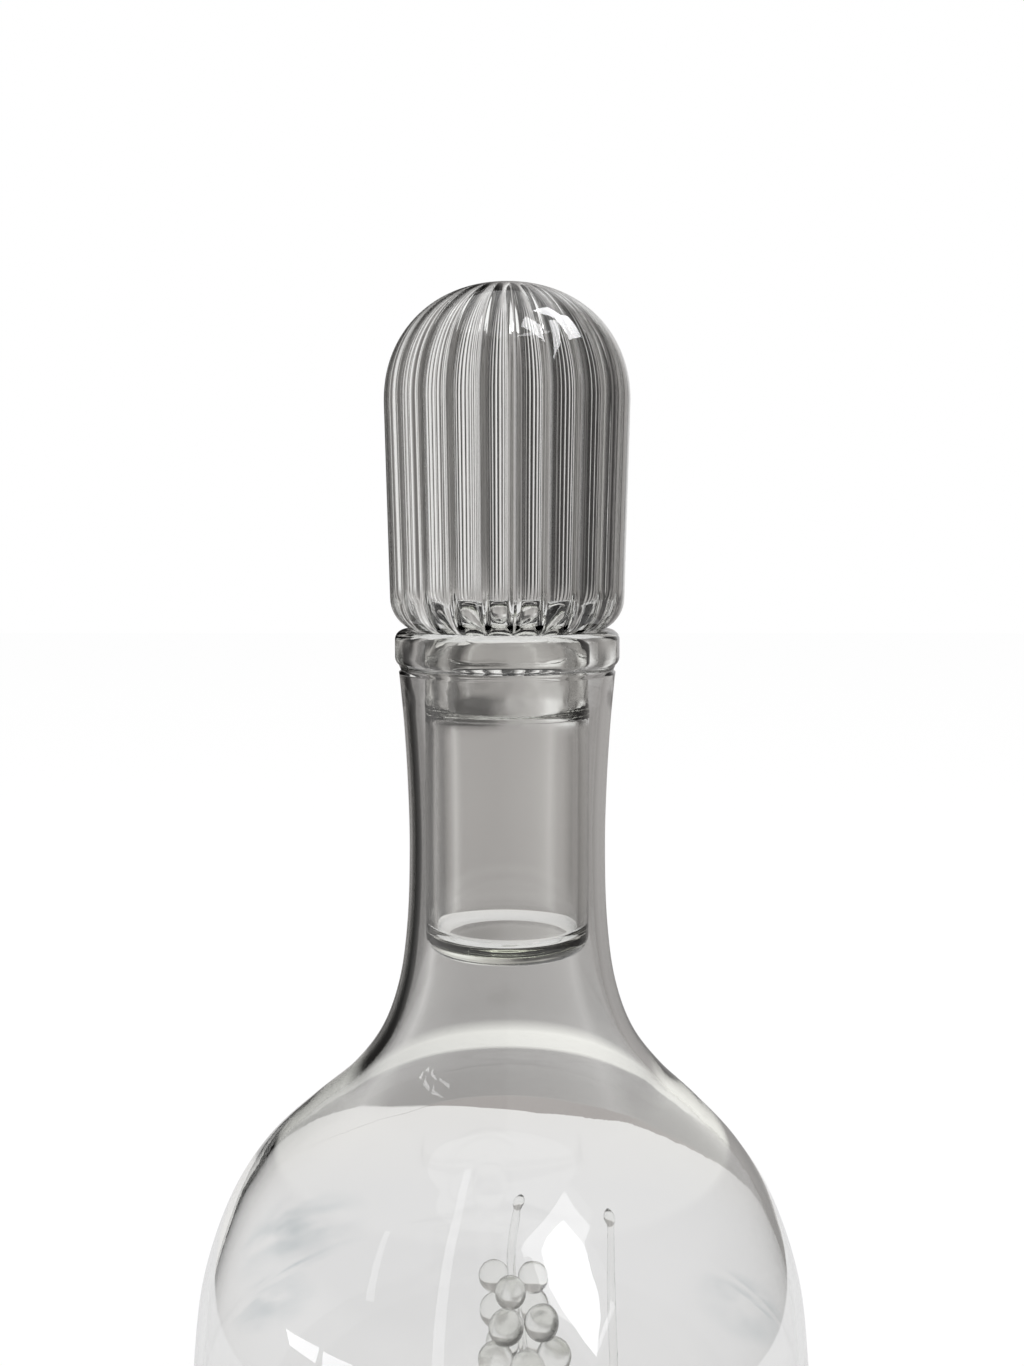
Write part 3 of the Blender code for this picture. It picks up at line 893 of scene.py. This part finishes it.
# light, then the corners: each stands 12 to 16 mm off the glass, where the camera finds it mirrored
windows = {
    "faint_window": (0.9, (
        (0.0156, -0.0386, 0.1228), (0.0169, -0.0408, 0.1207), (0.0237, -0.0428, 0.1161),
        (0.0227, -0.0492, 0.1119), (0.0311, -0.0580, 0.0965), (0.0251, -0.0661, 0.0851),
        (0.0233, -0.0670, 0.0847), (0.0157, -0.0658, 0.0944), (0.0106, -0.0637, 0.1005),
        (0.0042, -0.0568, 0.1102), (0.0037, -0.0529, 0.1138), (0.0000, -0.0515, 0.1152),
        (0.0052, -0.0486, 0.1171), (0.0104, -0.0460, 0.1182), (0.0142, -0.0421, 0.1205))),
    "front_window": (4.2, (
        (0.0163, -0.0422, 0.1183), (0.0226, -0.0459, 0.1132), (0.0213, -0.0499, 0.1106),
        (0.0236, -0.0554, 0.1041), (0.0292, -0.0580, 0.0962), (0.0242, -0.0650, 0.0863),
        (0.0198, -0.0641, 0.0931), (0.0157, -0.0638, 0.0963), (0.0110, -0.0618, 0.1015),
        (0.0071, -0.0577, 0.1075), (0.0054, -0.0540, 0.1113), (0.0064, -0.0521, 0.1130),
        (0.0089, -0.0495, 0.1148), (0.0129, -0.0456, 0.1167))),
    "bright_window": (9.0, (
        (0.0149, -0.0456, 0.1126), (0.0197, -0.0491, 0.1080), (0.0215, -0.0531, 0.1031),
        (0.0234, -0.0561, 0.0982), (0.0238, -0.0587, 0.0936), (0.0225, -0.0624, 0.0859),
        (0.0197, -0.0623, 0.0895), (0.0154, -0.0607, 0.0956), (0.0118, -0.0581, 0.1013),
        (0.0098, -0.0526, 0.1080), (0.0109, -0.0496, 0.1105), (0.0131, -0.0472, 0.1119))),
    "upper_pane": (13.0, (
        (0.0084, -0.0165, 0.2678), (0.0120, -0.0121, 0.2678), (0.0159, -0.0129, 0.2659),
        (0.0175, -0.0114, 0.2652), (0.0232, -0.0144, 0.2608), (0.0209, -0.0195, 0.2606),
        (0.0179, -0.0176, 0.2636), (0.0147, -0.0159, 0.2655), (0.0118, -0.0163, 0.2666))),
    "lower_pane": (12.0, (
        (0.0056, -0.0239, 0.2650), (0.0064, -0.0195, 0.2667), (0.0116, -0.0213, 0.2649),
        (0.0137, -0.0259, 0.2604))),
    "slim_pane": (12.0, (
        (0.0134, -0.0181, 0.2654), (0.0154, -0.0161, 0.2652), (0.0185, -0.0226, 0.2601),
        (0.0172, -0.0279, 0.2549))),
    "low_pane": (7.0, (
        (-0.0484, -0.0431, 0.0828), (-0.0413, -0.0514, 0.0826), (-0.0420, -0.0520, 0.0794),
        (-0.0476, -0.0455, 0.0803))),
    "low_pane_end": (7.0, (
        (-0.0404, -0.0524, 0.0822), (-0.0339, -0.0578, 0.0817), (-0.0346, -0.0583, 0.0783),
        (-0.0406, -0.0533, 0.0793))),
    "curtain": (2.6, (
        (-0.00910, -0.03794, 0.11997), (-0.00736, -0.03829, 0.12012), (-0.01209, -0.05850, 0.10056),
        (-0.01305, -0.06575, 0.08496), (-0.01585, -0.06515, 0.08471), (-0.01417, -0.05636, 0.10263))),
    "curtain_edge": (2.0, (
        (-0.02688, -0.04347, 0.10901), (-0.02573, -0.04411, 0.10913), (-0.02960, -0.05448, 0.09526),
        (-0.03145, -0.05331, 0.09514))),
    "blind_1": (6.0, (
        (-0.02513, -0.02132, 0.12568), (-0.02448, -0.02176, 0.12636), (-0.02417, -0.02256, 0.12587))),
    "blind_2": (6.0, (
        (-0.02392, -0.02236, 0.12659), (-0.02310, -0.02320, 0.12715), (-0.02311, -0.02334, 0.12667))),
    "blind_3": (5.0, (
        (-0.02241, -0.02417, 0.12671), (-0.02225, -0.02413, 0.12726), (-0.02169, -0.02487, 0.12695),
        (-0.02051, -0.02609, 0.12697), (-0.02068, -0.02600, 0.12680), (-0.02209, -0.02456, 0.12671))),
    "blind_4": (5.0, (
        (-0.02366, -0.02331, 0.12585), (-0.02347, -0.02312, 0.12639), (-0.02323, -0.02362, 0.12608),
        (-0.02187, -0.02537, 0.12603), (-0.02194, -0.02554, 0.12578), (-0.02341, -0.02380, 0.12569))),
    "blind_5": (4.5, (
        (-0.02119, -0.02630, 0.12585), (-0.02090, -0.02597, 0.12650), (-0.02048, -0.02674, 0.12609),
        (-0.01830, -0.02863, 0.12619), (-0.01774, -0.02900, 0.12610), (-0.01820, -0.02871, 0.12601),
        (-0.02101, -0.02655, 0.12572))),
    "blind_6": (4.5, (
        (-0.01985, -0.02669, 0.12698), (-0.01965, -0.02674, 0.12721), (-0.01912, -0.02721, 0.12712),
        (-0.01676, -0.02897, 0.12728), (-0.01640, -0.02923, 0.12718), (-0.01663, -0.02923, 0.12700),
        (-0.01946, -0.02700, 0.12694))),
}


def linear(level):
    # a screen's level, out of 255, as light, by the usual curve of screens
    share = level / 255
    return ((share + 0.055) / 1.055) ** 2.4 if share > 0.04 else share / 12.92


def colourOf(levels):
    return opaque([linear(level) for level in levels])


def tone(level, warmth):
    # warmth is how far the red goes up and the blue down, most where it is dark
    light = linear(level)
    more, less = warmth
    return (light * (1 + more * (1 - light)), light, light * (1 - less * (1 - light)))


def polygon(name, corners):
    # a flat card, whose corners are then put in place
    deselectAll()
    bpy.ops.mesh.primitive_circle_add(vertices=len(corners), radius=0.1, fill_type="NGON")
    piece = settle(bpy.context.object)
    piece.name = name
    for vertex, corner in zip(piece.data.vertices, corners):
        vertex.co = corner
    return piece


def addCard(piece, colour, owner, cover=None):
    # only the glass shows a card: the camera and the floor don't
    shown = owner.node("ShaderNodeEmission", {}, {"Color": colour, "Strength": 1.0})
    if cover:
        clear = owner.node("ShaderNodeBsdfTransparent", {}, {})
        shown = owner.node("ShaderNodeMixShader", {}, {0: cover, 1: clear, 2: shown})
    owner.node("ShaderNodeOutputMaterial", {}, {"Surface": shown})
    owner.owner.cycles.emission_sampling = "NONE"
    piece.data.materials.append(owner.owner)
    piece.visible_camera = False
    piece.visible_diffuse = False
    piece.visible_shadow = False


def makeWorld():
    world = Finish(bpy.data.worlds.new("studio"))
    bpy.context.scene.world = world.owner
    white = (1.0, 1.0, 1.0, 1.0)
    shown = world.node("ShaderNodeBackground", {}, {"Color": white, "Strength": 1.0})
    fill = world.node("ShaderNodeBackground", {}, {"Color": white, "Strength": stage["worldFill"]})
    mixed = world.node("ShaderNodeMixShader", {}, {0: world.seen(), 1: fill, 2: shown})
    world.node("ShaderNodeOutputWorld", {}, {"Surface": mixed})


def makeFloor():
    deselectAll()
    bpy.ops.mesh.primitive_plane_add(size=stage["floorSize"], location=(0, 0, -stage["floorGap"]))
    floor = bpy.context.object
    floor.name = "floor"
    pale = Finish(bpy.data.materials.new("paleFloor"))
    matt = pale.node("ShaderNodeBsdfDiffuse", {}, {"Color": opaque(stage["floorColour"])})
    glow = pale.node("ShaderNodeEmission", {}, {"Strength": 1.0})
    mixed = pale.node("ShaderNodeMixShader", {}, {0: pale.seen() * stage["floorGlow"], 1: matt, 2: glow})
    pale.node("ShaderNodeOutputMaterial", {}, {"Surface": mixed})
    floor.data.materials.append(pale.owner)


def makeLamps():
    for name, place, size, power in stage["lamps"]:
        deselectAll()
        bpy.ops.object.light_add(type="AREA", location=place)
        lamp = bpy.context.object
        lamp.name = name
        lamp.data.size = size
        lamp.data.energy = power
        towards = Vector(stage["lampAim"]) - Vector(place)
        lamp.rotation_euler = towards.to_track_quat("-Z", "Y").to_euler()


def roundShare(degrees):
    # 0 to 1 round the walls, with 0.5 straight behind
    return degrees / 360 + 0.5


def makeWalls():
    deselectAll()
    bpy.ops.mesh.primitive_cylinder_add(
        vertices=walls["segments"], radius=walls["radius"], depth=walls["height"],
        location=(0, 0, walls["height"] / 2 - stage["floorGap"]), end_fill_type="NOTHING")
    card = settle(bpy.context.object)
    card.name = "grey_walls"
    paint = Finish(bpy.data.materials.new("greyWalls"))
    place = paint.node("ShaderNodeTexCoord", {}, {}, "Object")
    across = paint.node("ShaderNodeSeparateXYZ", {}, {"Vector": place}, "X")
    turn = across.sum("ARCTAN2", across, across.beside("Y")) / math.tau + 0.5
    lower = paint.ramp([(roundShare(degrees), tone(level, walls["lowerWarmth"]))
                        for degrees, level in walls["lower"]], turn)
    upper = paint.ramp([(roundShare(degrees), tone(level, walls["upperWarmth"]))
                        for degrees, level in walls["upper"]], turn)
    height = across.beside("Z")
    dimmed = (1 - height.share(*walls["dim"])) * walls["dimShare"]
    lower = paint.mixed(dimmed, lower, opaque(walls["dimColour"]))
    colour = paint.mixed(height.share(*walls["change"]), lower, upper)
    reached = paint.ramp([(roundShare(degrees), [rise / walls["tallestRise"]] * 3)
                          for degrees, rise in walls["tableRise"]], turn) * walls["tallestRise"]
    cover = ((reached - height) / walls["riseSoft"]).held()
    addCard(card, paint.mixed(cover, colour, colourOf(table["far"])), paint)


def circle(reach, height, first, last):
    # the corners of a round card, between two directions in degrees
    turns = [math.radians(turn) for turn in range(first, last, table["turnStep"])]
    return [(reach * math.sin(turn), reach * math.cos(turn), height) for turn in turns]


def makeTable():
    marble = Finish(bpy.data.materials.new("paleMarble"))
    place = marble.node("ShaderNodeTexCoord", {}, {}, "Object")
    x = marble.node("ShaderNodeSeparateXYZ", {}, {"Vector": place}, "X")
    y = x.beside("Y")
    veins = marble.noise(place, table["veinScale"], table["veinDetail"])
    mark = 0.0
    for markX, markY, size in table["marks"]:
        away = ((x - markX) ** 2 + ((y - markY) * table["markSquash"]) ** 2) ** 0.5
        mark = (1 - away / size).atLeast(0.0).atLeast(mark)
    mark = (mark * table["markStrength"] * veins.share(*table["veinRange"])).atMost(1.0)
    plain = marble.mixed(y.share(*table["farRange"]), colourOf(table["levels"]), colourOf(table["far"]))
    colour = marble.mixed(mark, plain, colourOf(table["markLevels"]))
    edge = [(*corner, table["height"]) for corner in table["edge"]]
    side = circle(walls["radius"] - table["rim"], table["height"], *table["round"])
    addCard(polygon("table_top", edge + side), colour, marble)
    beyond = Finish(bpy.data.materials.new("beyondTable"))
    disc = polygon("beyond_table", circle(walls["radius"] + table["rim"], table["beyondHeight"], 0, 360))
    addCard(disc, colourOf(table["beyond"]), beyond)


def makeShoulderGlow():
    low, high = shoulderGlow["reach"]
    curve = [point for point in upperOutline() if low <= point[1] <= high]
    outside = setIn(curve, lambda height: -shoulderGlow["gap"])
    ring = turnedPiece("shoulder_glow", outside, shoulderGlow["segments"])
    leanNeck(ring)
    glow = Finish(bpy.data.materials.new("shoulderGlow"))
    place = glow.node("ShaderNodeTexCoord", {}, {}, "Object")
    x = glow.node("ShaderNodeSeparateXYZ", {}, {"Vector": place}, "X")
    y, z = x.beside("Y"), x.beside("Z")
    side = x.sum("ARCTAN2", x, y).size().share(*shoulderGlow["sideAngles"])
    low = shoulderGlow["lowEdge"] - side * shoulderGlow["sideDrop"]
    cover = ((z - low) / shoulderGlow["lowSoft"]).held()
    cover = cover * ((shoulderGlow["highEdge"] - z) / shoulderGlow["highSoft"]).held()
    toRight = x / (x ** 2 + y ** 2) ** 0.5 * 0.5 + 0.5
    colour = glow.mixed(toRight, opaque(shoulderGlow["left"]), opaque(shoulderGlow["right"]))
    addCard(ring, colour, glow, cover)
    ring.visible_glossy = False


def makeWindows():
    # the glass mirrors a window, and doesn't show it straight through
    for name, (light, corners) in windows.items():
        pane = Finish(bpy.data.materials.new(name))
        card = polygon(name, corners)
        addCard(card, opaque((light, light, light * stage["windowBlue"])), pane)
        card.visible_transmission = False


makeWorld()
makeFloor()
makeLamps()
makeWalls()
makeTable()
makeShoulderGlow()
makeWindows()
bpy.context.scene.cycles.max_bounces = stage["bounces"]
bpy.context.scene.cycles.transmission_bounces = stage["bounces"]
print("stage made")
